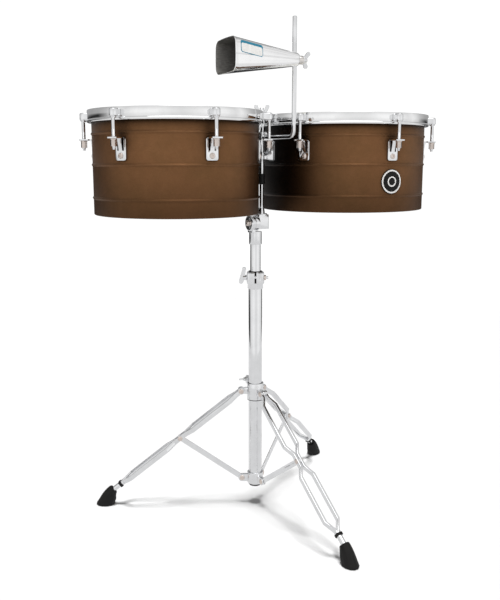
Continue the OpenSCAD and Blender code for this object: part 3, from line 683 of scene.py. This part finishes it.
def make_cutter(origin, axis, radius, half_length):
    mesh = bpy.data.meshes.new("cut")
    bm = bmesh.new()
    bmesh.ops.create_cone(bm, cap_ends=True, segments=48, radius1=radius * MM,
                          radius2=radius * MM, depth=2 * half_length * MM,
                          matrix=frame_of(origin, axis))
    bm.to_mesh(mesh)
    bm.free()
    return new_object("cut", mesh)


def build_cowbell():
    """Two pressed halves joined along the middle of each side."""
    rings = ([bell_ring(x, offset, seam=True) for x, offset in BELL_OUTER]
             + [bell_ring(x, offset, seam=False) for x, offset in BELL_INNER])
    count = len(rings)
    verts = [point for ring in rings for point in ring]
    faces = skin(count, BELL_AROUND)
    close_bell_end(verts, faces, BELL_END, 0)
    close_bell_end(verts, faces, BELL_INNER_END, count - 1)
    bell = link_mesh("cowbell_plate", verts, faces, ["bell_out", "bell_in"])

    # past the lip every face is inside, but for the outer end plate's rings
    outer_cap = range(count, count + len(CAP_RINGS))
    for polygon in bell.data.polygons:
        ring = min(polygon.vertices) // BELL_AROUND
        inside = ring >= len(BELL_OUTER) - 1 and ring not in outer_cap
        polygon.material_index = int(inside)

    # clear holes for the arm and the eyebolt
    cutters = [
        make_cutter(bell_point(0, 0, 0), (0, 0, 1), radius=4.95, half_length=30),
        make_cutter(bell_point(-9, 0, 0), BELL_X, radius=3.2, half_length=4),
    ]
    for cutter in cutters:
        hole = bell.modifiers.new("hole", "BOOLEAN")
        hole.operation = "DIFFERENCE"
        hole.solver = "EXACT"
        hole.object = cutter
    bake(bell)
    for cutter in cutters:
        bpy.data.objects.remove(cutter)
    add_smooth(bell)
    attach(bell, "bell", replaces="cowbell")


# ---- two-colour sticker with rounded corners on the front of the bell

LABEL_COLS, LABEL_ROWS = 20, 14
LABEL_BACK = 0.02           # gap between the bell and the sticker's back


def label_point(x, drop, lift):
    """Point on the bell's front face, `drop` below its top and `lift` off it."""
    width, height, radius = bell_size(x)
    half_flat = height / 2 - radius
    z = height / 2 - drop
    t = min(1.0, max(0.0, (z + half_flat) / (2 * half_flat)))
    y = width / 2 + BELL_CROWN * (1 - (2 * t - 1) ** 2)
    rise = 0.0
    if z > half_flat:       # on the rounded upper corner
        angle = math.asin(min(1.0, (z - half_flat) / radius))
        y = width / 2 - radius + radius * math.cos(angle)
        rise = lift * math.sin(angle)
    return bell_point(x, y + lift, z + rise)


def build_label(name, x_span, drop_span, corner, lift, material):
    x0, x1 = x_span
    top, bottom = drop_span
    cells = []
    for i in range(LABEL_COLS + 1):
        x = x0 + (x1 - x0) * i / LABEL_COLS
        inset = min(x - x0, x1 - x)
        cut = 0.0
        if inset < corner:
            cut = corner - math.sqrt(max(0.0, corner * corner - (corner - inset) ** 2))
        for j in range(LABEL_ROWS + 1):
            cells.append((x, (top + cut) + (bottom - top - 2 * cut) * j / LABEL_ROWS))
    verts = [label_point(x, drop, gap) for gap in (lift, LABEL_BACK) for x, drop in cells]

    def index(side, i, j):
        return side * len(cells) + i * (LABEL_ROWS + 1) + j

    faces = []
    for i in range(LABEL_COLS):
        for j in range(LABEL_ROWS):
            faces.append((index(0, i, j), index(0, i + 1, j),
                          index(0, i + 1, j + 1), index(0, i, j + 1)))
            faces.append((index(1, i, j), index(1, i, j + 1),
                          index(1, i + 1, j + 1), index(1, i + 1, j)))
    rim = ([(i, 0) for i in range(LABEL_COLS)]
           + [(LABEL_COLS, j) for j in range(LABEL_ROWS)]
           + [(i, LABEL_ROWS) for i in range(LABEL_COLS, 0, -1)]
           + [(0, j) for j in range(LABEL_ROWS, 0, -1)])
    for here, after in zip(rim, rim[1:] + rim[:1]):
        faces.append((index(0, *here), index(1, *here), index(1, *after), index(0, *after)))
    add_piece(name, verts, faces, material, "bell")


# ---------------------------------------------------------------- feet

# Places on each leg as (distance from the stand's axis, height)
LEG_TOP = (34, 284.5)
LEG_LOWER = (182, 167.4)
LEG_SLOPE = math.atan2(LEG_TOP[1] - LEG_LOWER[1], LEG_LOWER[0] - LEG_TOP[0])
FIRST_LEG_DEG = 34
FOOT_DISTANCE = 366

FACETS = 12
FACET_STEPS = 6
BOOT_AROUND = FACETS * FACET_STEPS
BODY_START = 399.4          # distance down the leg where the mouth's roll ends
BODY_END_Z = 5.0
BODY_STEPS = 9
BODY_R = 12.1
SOLE_OUT_R, SOLE_SIDE_R = 22.3, 17.3    # sole radii away from the stand and sideways
SOLE_INSET = 1.8            # rounding between the sole's rim and its flat

# (distance down the leg, radius, faceting 0..1) from inside the mouth over its roll
BOOT_MOUTH = ((401.5, 6.35, 0.0), (398.2, 6.6, 0.0), (397.2, 7.6, 0.0),
              (397.0, 9.6, 0.1), (397.6, 11.2, 0.4), (BODY_START, BODY_R, 0.9))
# (z, added radius, faceting) round the sole's rim
SOLE_RIM = ((3.2, 0.5, 1.0), (1.4, 0.1, 0.8), (0.5, -0.6, 0.6), (0.0, -SOLE_INSET, 0.4))
# (fraction of the flat's radii, z) of the concentric grooves
TREAD = ((0.86, 0.0), (0.83, 1.1), (0.76, 1.1), (0.73, 0.0),
         (0.55, 0.0), (0.52, 1.1), (0.44, 1.1), (0.41, 0.0))
TREAD_FACETING = 0.2
# (radius, z) of the blind socket in the middle of the sole
SOCKET = ((3.3, 0.0), (3.0, 0.3), (3.0, 8.0))


def leg_axes(number):
    """Leg's top point and unit vectors: out, sideways, down the leg, square to the leg."""
    azimuth = math.radians(FIRST_LEG_DEG + 120 * (number - 1))
    out = Vector((math.cos(azimuth), math.sin(azimuth), 0))
    side = Vector((-math.sin(azimuth), math.cos(azimuth), 0))
    top = out * LEG_TOP[0] + Vector((0, 0, LEG_TOP[1]))
    down = out * math.cos(LEG_SLOPE) - Vector((0, 0, 1)) * math.sin(LEG_SLOPE)
    square = out * math.sin(LEG_SLOPE) + Vector((0, 0, 1)) * math.cos(LEG_SLOPE)
    return top, out, side, down, square


def boot_ring(centre, across, side, across_r, side_r, faceting):
    """Ring of flat facets with a soft ridge where they meet; round at faceting 0."""
    facet_angle = 2 * math.pi / FACETS
    points = []
    for i in range(BOOT_AROUND):
        angle = 2 * math.pi * (i + 0.5 * FACET_STEPS) / BOOT_AROUND
        within = ((i % FACET_STEPS) / FACET_STEPS - 0.5) * facet_angle
        factor = math.cos(facet_angle / 2) / math.cos(within)
        factor = 1 + (factor - 1) * faceting
        points.append(centre + across * (across_r * factor * math.cos(angle))
                      + side * (side_r * factor * math.sin(angle)))
    return points


def build_boot(number):
    """Moulded boot on the leg's end, faceted, flared to a flat sole."""
    leg_top, out, side, down, square = leg_axes(number)
    base = out * FOOT_DISTANCE
    rings = []
    for distance, radius, faceting in BOOT_MOUTH:
        rings.append(boot_ring(leg_top + down * distance, square, side,
                               radius, radius, faceting))

    # body, bending from the leg's direction to upright
    start = leg_top + down * BODY_START
    end = base + Vector((0, 0, BODY_END_Z))
    for i in range(1, BODY_STEPS + 1):
        t = i / BODY_STEPS
        ease = t * t * (3 - 2 * t)
        normal = (down * (1 - ease) + Vector((0, 0, -1)) * ease).normalized()
        across = (out - normal * out.dot(normal)).normalized()
        flare = t ** 0.8
        rings.append(boot_ring(start.lerp(end, t), across, side,
                               BODY_R + (SOLE_OUT_R - BODY_R) * flare,
                               BODY_R + (SOLE_SIDE_R - BODY_R) * flare,
                               0.9 + 0.1 * t))

    def level_ring(z, out_r, side_r, faceting):
        rings.append(boot_ring(base + Vector((0, 0, z)), out, side, out_r, side_r, faceting))

    for z, extra, faceting in SOLE_RIM:
        level_ring(z, SOLE_OUT_R + extra, SOLE_SIDE_R + extra, faceting)
    for fraction, z in TREAD:
        level_ring(z, (SOLE_OUT_R - SOLE_INSET) * fraction,
                   (SOLE_SIDE_R - SOLE_INSET) * fraction, TREAD_FACETING)
    for radius, z in SOCKET:
        level_ring(z, radius, radius, 0.0)

    verts = [point * MM for ring in rings for point in ring]
    faces = skin(len(rings), BOOT_AROUND)
    faces.append(tuple(range(BOOT_AROUND)))
    faces.append(tuple((len(rings) - 1) * BOOT_AROUND + k for k in range(BOOT_AROUND)))
    add_piece(f"foot_boot_{number}", verts, faces, "rubber", f"leg_{number}_body",
              replaces=f"foot_{number}")


BAND_HALF_SIDE, BAND_HALF_SQUARE, BAND_CORNER = 7.0, 6.9, 1.6
# (distance down the leg, how far the section stands out)
BAND_STATIONS = ((371.0, -1.5), (371.0, -0.5), (371.5, 0.0), (373.0, 0.25), (374.5, 0.3),
                 (376.0, 0.25), (377.5, 0.0), (378.0, -0.5), (378.0, -1.5))


def build_leg_band(number):
    """Band that holds the leg's two bars together."""
    leg_top, _, side, down, square = leg_axes(number)
    y0, z0 = BAND_HALF_SIDE - BAND_CORNER, BAND_HALF_SQUARE - BAND_CORNER
    section = []
    for y, z, first in ((y0, z0, 0), (-y0, z0, 90), (-y0, -z0, 180), (y0, -z0, 270)):
        for k in range(6):
            angle = math.radians(first + 18 * k)
            section.append((y + BAND_CORNER * math.cos(angle), z + BAND_CORNER * math.sin(angle)))
    verts = []
    for distance, grow in BAND_STATIONS:
        for y, z in section:
            factor = 1 + grow / math.hypot(y, z)
            verts.append((leg_top + down * distance + side * (y * factor)
                          + square * (z * factor)) * MM)
    count = len(section)
    faces = skin(len(BAND_STATIONS), count)
    # closed through the inside
    last = (len(BAND_STATIONS) - 1) * count
    for k in range(count):
        after = (k + 1) % count
        faces.append((last + k, last + after, after, k))
    add_piece(f"leg_band_{number}", verts, faces, "rubber", f"leg_{number}_body")


# ---------------------------------------------------------------- badge

BADGE_Z = 920 - 137
BADGE_SEGMENTS = 96
# (radius, height off the shell) of the domed disc, from its rim to near its middle
BADGE_DOME = ((26.6, 0.1), (27.0, 0.5), (26.7, 1.1), (26.0, 1.5), (24.8, 1.65),
              (20, 1.95), (12, 2.2), (5, 2.3), (0.6, 2.32))
# (name, inner radius, outer radius, base height, top height)
BADGE_RINGS = (("badge_ring", 22.4, 26.0, 1.3, 2.35),
               ("badge_ring_inner", 8.4, 11.4, 1.9, 2.75))


def on_shell(along, rise, lift):
    """Point on the large shell's front, `along` towards +X and `rise` up from the badge."""
    angle = math.radians(270) + along / LARGE_SHELL_R
    radius = LARGE_SHELL_R + lift
    return Vector((LARGE_DRUM_X + radius * math.cos(angle),
                   radius * math.sin(angle),
                   BADGE_Z + rise)) * MM


def turn_on_shell(profile, closed):
    """Turns a (radius, lift) profile about the badge's middle, bent to the shell."""
    verts, faces = [], []
    count = len(profile)
    for i in range(BADGE_SEGMENTS):
        angle = 2 * math.pi * i / BADGE_SEGMENTS
        for radius, lift in profile:
            verts.append(on_shell(radius * math.cos(angle), radius * math.sin(angle), lift))
    for i in range(BADGE_SEGMENTS):
        here, after = i * count, (i + 1) % BADGE_SEGMENTS * count
        for k in range(count if closed else count - 1):
            m = (k + 1) % count
            faces.append((here + k, after + k, after + m, here + m))
    return verts, faces


def build_badge():
    """Domed black disc following the shell, with two plain raised rings."""
    verts, faces = turn_on_shell(BADGE_DOME, closed=False)
    count = len(BADGE_DOME)
    faces.append(tuple(i * count for i in range(BADGE_SEGMENTS)))
    faces.append(tuple(i * count + count - 1 for i in range(BADGE_SEGMENTS - 1, -1, -1)))
    add_piece("badge_disc", verts, faces, "badge", "large_drum",
              replaces="shell_badge")
    for name, inner, outer, base, top in BADGE_RINGS:
        profile = [(inner, base), (inner + 0.15, top - 0.1), (inner + 0.4, top),
                   (outer - 0.4, top), (outer - 0.15, top - 0.1), (outer, base)]
        verts, faces = turn_on_shell(profile, closed=True)
        add_piece(name, verts, faces, "enamel_white", "large_drum")


# ---------------------------------------------------------------- screw threads

THREAD_STEPS = 20           # per turn
THREAD_TAPER = 8            # steps over which each end grows to full height
TENSION_ROD_GAP = 21.6      # from the shell to the tension rods
CLAMP_ANGLE = math.radians(-28)
CLAMP_OFFSET = 21           # from the stand's axis, square to the clamp bolt
CLAMP_Z = 562


def thread(name, body, matrix, radius, start, end, pitch, height):
    """Raised thread wound on a rod along the matrix's z, between start and end."""
    run = end - start - pitch
    turns = run / pitch
    steps = int(turns * THREAD_STEPS)
    verts = []
    for i in range(steps + 1):
        angle = 2 * math.pi * turns * i / steps
        z = start + pitch / 2 + run * i / steps
        crest = radius + height * min(1.0, i / THREAD_TAPER, (steps - i) / THREAD_TAPER)
        root = radius - 0.08
        for reach, rise in ((root, -pitch * 0.46), (crest, -pitch * 0.07),
                            (crest, pitch * 0.07), (root, pitch * 0.46), (radius - 0.4, 0)):
            verts.append(matrix @ Vector((reach * MM * math.cos(angle),
                                          reach * MM * math.sin(angle),
                                          (z + rise) * MM)))
    faces = skin(steps + 1, 5)
    faces.append((4, 3, 2, 1, 0))
    faces.append(tuple(steps * 5 + k for k in range(5)))
    add_piece(name, verts, faces, "rod", body)


def build_threads():
    for side, drum_x, shell_r in (("small", SMALL_DRUM_X, SMALL_SHELL_R),
                                  ("large", LARGE_DRUM_X, LARGE_SHELL_R)):
        distance = shell_r + TENSION_ROD_GAP
        for i in range(6):
            angle = math.radians(30 + 60 * i)
            foot = Vector((drum_x + distance * math.cos(angle),
                           distance * math.sin(angle), 0)) * MM
            matrix = frame_of(foot, (0, 0, 1))
            thread(f"{side}_rod_thread_{i + 1}", f"{side}_hoop", matrix,
                   radius=2.7, start=850.3, end=856.3, pitch=1.0, height=0.28)
            thread(f"{side}_rod_thread_upper_{i + 1}", f"{side}_hoop", matrix,
                   radius=3.72, start=875.0, end=890.0, pitch=1.0, height=0.22)
    thread("centre_rod_thread", "tilt_block", frame_of((ROD_X * MM, 0, 0), (0, 0, 1)),
           radius=4.73, start=941.4, end=945.4, pitch=1.25, height=0.3)
    axis = Vector((math.cos(CLAMP_ANGLE), math.sin(CLAMP_ANGLE), 0))
    origin = Vector((CLAMP_OFFSET * MM * math.sin(CLAMP_ANGLE),
                     -CLAMP_OFFSET * MM * math.cos(CLAMP_ANGLE),
                     CLAMP_Z * MM))
    thread("clamp_bolt_thread", "clamp_wing", frame_of(origin, axis),
           radius=2.98, start=24.6, end=29.6, pitch=1.0, height=0.28)


# ---------------------------------------------------------------- tilter ribs

RIB_COUNT = 40
PLATE_R = 18.0
PLATE_Z = 687
# (x, height of the rib above the rim)
RIB_STATIONS = ((-16.0, 0.1), (-15.4, 0.75), (-6.6, 0.75), (-6.0, 0.1))


def build_tilter_ribs():
    """Knurled rim of the tilter's plate, whose axis lies along x."""
    verts, faces = [], []
    for i in range(RIB_COUNT):
        middle = 2 * math.pi * i / RIB_COUNT
        first = len(verts)
        for x, height in RIB_STATIONS:
            for turn, rise in ((-0.045, -0.3), (-0.022, height), (0.022, height), (0.045, -0.3)):
                radius = PLATE_R + rise
                verts.append(Vector((x, radius * math.cos(middle + turn),
                                     PLATE_Z + radius * math.sin(middle + turn))) * MM)
        faces += skin(len(RIB_STATIONS), 4, first)
        faces.append((first + 3, first + 2, first + 1, first))
        faces.append((first + 12, first + 13, first + 14, first + 15))
    add_piece("tilter_plate_ribs", verts, faces, "cast", "upper_post")


# ---------------------------------------------------------------- cast wing parts

# (CAD node, name, body, voxel size)
CAST_PARTS = (
    ("top_wing_nut", "wing_nut_top", "top_wing", 0.4),
    ("cowbell_wing_nut", "wing_nut_bell", "bell_wing", 0.4),
    ("clamp_wing_bolt", "wing_bolt_clamp", "clamp_wing", 0.45),
    ("collar_wing_bolt", "wing_bolt_collar", "collar_wing", 0.4),
)


def cast_from(node, name, body, voxel):
    """The CAD node's form with its sharp joins run together, as a casting has."""
    bm = bmesh.new()
    bm.from_mesh(NODES[node].data)
    bmesh.ops.remove_doubles(bm, verts=bm.verts, dist=WELD_GAP)
    mesh = bpy.data.meshes.new(name)
    bm.to_mesh(mesh)
    bm.free()
    obj = new_object(name, mesh)
    remesh = obj.modifiers.new("remesh", "REMESH")
    remesh.mode = "VOXEL"
    remesh.voxel_size = voxel * MM
    smooth = obj.modifiers.new("smooth", "SMOOTH")
    smooth.factor = 0.5
    smooth.iterations = 5
    bake(obj)
    paint(obj, "cast")
    for polygon in obj.data.polygons:
        polygon.use_smooth = True
    attach(obj, body, replaces=node)


build_cowbell()
build_label("bell_label_edge", x_span=(91.5, 146.0), drop_span=(6.0, 29.5), corner=3.2,
            lift=0.24, material="enamel_blue")
build_label("bell_label_field", x_span=(92.9, 144.6), drop_span=(11.2, 28.1), corner=2.2,
            lift=0.38, material="enamel_white")
for number in (1, 2, 3):
    build_boot(number)
    build_leg_band(number)
build_badge()
build_threads()
build_tilter_ribs()
for part in CAST_PARTS:
    cast_from(*part)


# ---------------------------------------------------------------- floor

def floor_material():
    mat = Surface("floor_pale")
    cloud = mat.noise(scale=1.1, detail=3, rough=0.5)
    path = mat.add("LightPath")
    # a faint glow that only the camera sees
    glow = mat.calc("MULTIPLY", path.outputs["Is Camera Ray"], 0.08)
    material = mat.finish({
        "Base Color": mat.spots(cloud, base=(0.70, 0.70, 0.70), spot=(0.68, 0.68, 0.68)),
        "Roughness": 0.8,
        "Specular IOR Level": 0.1,
        "Emission Color": (1, 1, 1),
        "Emission Strength": glow})
    # what the chrome sees of it: an even sheet
    sheet_color = mat.spots(cloud, base=(0.80, 0.80, 0.80), spot=(0.74, 0.74, 0.745))
    sheet = mat.add("Emission", {0: sheet_color})
    pick = mat.add("MixShader", {
        0: path.outputs["Is Glossy Ray"], 1: mat.bsdf.outputs[0], 2: sheet.outputs[0]})
    mat.feed(mat.output.inputs["Surface"], pick.outputs[0])
    return material


def build_floor():
    mesh = bpy.data.meshes.new("floor")
    bm = bmesh.new()
    bmesh.ops.create_circle(bm, cap_ends=True, segments=96, radius=2.9)
    bm.to_mesh(mesh)
    bm.free()
    obj = new_object("floor", mesh)
    mesh.materials.append(floor_material())
    return obj


FLOOR = build_floor()


# ---------------------------------------------------------------- lights
# Metres. LOOK and RIGHT are the camera's level directions.

LOOK = Vector((0.47255, 0.8813, 0.0))
RIGHT = Vector((0.8813, -0.47255, 0.0))
UP = Vector((0, 0, 1))
TARGET = Vector((0.02, 0.0, 0.62))
TRIPOD_NAMES = ("leg_", "brace_", "foot_boot", "lower_", "tube_plug", "upper_collar", "collar_")


def linking_collection(name, objects):
    collection = bpy.data.collections.new(name)
    for obj in objects:
        collection.objects.link(obj)
    return collection


ONLY_FLOOR = linking_collection("only_floor", [FLOOR])
NOT_FLOOR = linking_collection("not_floor", [FLOOR])
NOT_FLOOR.collection_objects[0].light_linking.link_state = "EXCLUDE"
TRIPOD = linking_collection("tripod_blockers", [
    obj for obj in scene.objects if obj.type == "MESH" and obj.name.startswith(TRIPOD_NAMES)])


def add_light(name, kind, energy, receivers):
    light = bpy.data.lights.new(name, kind)
    light.energy = energy
    obj = new_object(name, light)
    obj.light_linking.receiver_collection = receivers
    return obj


def point_light(obj, direction):
    obj.rotation_mode = "QUATERNION"
    obj.rotation_quaternion = direction.to_track_quat("-Z", "Y")


def area(name, right, back, up, size, power):
    """Square light aimed at TARGET that lights all but the floor."""
    obj = add_light(name, "AREA", power, NOT_FLOOR)
    obj.data.shape = "RECTANGLE"
    obj.data.size = size
    obj.data.size_y = size
    obj.location = Vector((0, 0, up)) + RIGHT * right - LOOK * back
    point_light(obj, TARGET - obj.location)
    obj.visible_glossy = False


def sun(name, power, spread, direction, receivers):
    obj = add_light(name, "SUN", power, receivers)
    obj.data.angle = math.radians(spread)
    point_light(obj, direction)
    return obj


area("key", right=0.35, back=2.4, up=2.1, size=1.3, power=46)
area("side_left", right=-2.3, back=0.5, up=1.5, size=1.4, power=15)
area("side_right", right=2.5, back=0.2, up=1.4, size=1.2, power=9)
sun("overhead", power=1.15, spread=55, direction=LOOK * 0.25 - RIGHT * 0.1 - UP,
    receivers=NOT_FLOOR)
# soft light from above that only the floor takes and only the tripod blocks
wash = sun("floor_wash", power=3.98, spread=16, direction=-UP + LOOK * 0.02,
           receivers=ONLY_FLOOR)
wash.light_linking.blocker_collection = TRIPOD


# ---------------------------------------------------------------- world
# Room seen in reflections, as (position 0..1, brightness) stops.

# from behind the camera to beyond the drums
ROOM_DEPTH = ((0.0, 0.82), (0.08, 0.98), (0.25, 0.95), (0.38, 0.80), (0.47, 0.92),
              (0.56, 0.72), (0.64, 0.54), (0.76, 0.42), (0.90, 0.38), (1.0, (0.40, 0.40, 0.41)))
# from straight down to straight up, beyond the drums: a dark gap past the floor's edge
ROOM_FAR = ((0.0, 0.5), (0.38, 0.40), (0.43, 0.10), (0.475, 0.05), (0.50, 0.30),
            (0.53, 0.92), (0.62, 1.0), (0.80, 0.92), (1.0, 1.0))
# from straight down to straight up, all round
ROOM_HEIGHT = ((0.0, 0.8), (0.40, 0.90), (0.50, 1.0), (0.60, 0.98), (0.72, 0.80),
               (0.86, 0.90), (1.0, 0.6))


def build_world():
    world = bpy.data.worlds.new("studio")
    scene.world = world
    world.use_nodes = True
    sky = Nodes(world.node_tree)
    output = sky.add("OutputWorld")
    path = sky.add("LightPath")
    direction = sky.add("TexCoord").outputs["Generated"]
    height = sky.add("SeparateXYZ", {0: direction}).outputs["Z"]
    # depth axis: mostly the look direction, turned a little to the left
    depth = sky.dot(direction, LOOK * 0.97 - RIGHT * 0.22)

    whole = (-1.0, 1.0)
    front = sky.ramp(sky.remap(depth, span=whole), ROOM_DEPTH)
    far = sky.ramp(sky.remap(height, span=whole), ROOM_FAR)
    beyond = sky.remap(depth, span=(0.15, 0.55))
    room = sky.mix(beyond, front, far, "MULTIPLY")
    room = sky.multiply(room, sky.ramp(sky.remap(height, span=whole), ROOM_HEIGHT))

    def background(color, strength):
        return sky.add("Background", {0: color, 1: strength}).outputs[0]

    reflected = background(room, strength=1.02)
    diffuse = background((1, 1, 1), strength=0.12)
    seen = background((1, 1, 1), strength=1.05)
    lit = sky.add("MixShader", {0: path.outputs["Is Glossy Ray"], 1: diffuse, 2: reflected})
    final = sky.add("MixShader", {0: path.outputs["Is Camera Ray"], 1: lit.outputs[0], 2: seen})
    sky.feed(output.inputs[0], final.outputs[0])


build_world()


# ---------------------------------------------------------------- view and camera

scene.view_settings.view_transform = "Standard"
scene.view_settings.look = "None"
scene.view_settings.exposure = 0.0
scene.view_settings.gamma = 1.0


def build_camera():
    """Camera at the front left, looking slightly down."""
    lens = bpy.data.cameras.new("camera")
    camera = new_object("camera", lens)
    camera.location = (-0.8626, -1.5822, 0.8287)
    camera.rotation_euler = (math.radians(79.83), 0, math.radians(-28.2))
    lens.lens = 46.60
    lens.sensor_fit = "AUTO"
    lens.sensor_width = 36
    lens.clip_start = 0.01
    lens.clip_end = 100
    scene.camera = camera


build_camera()
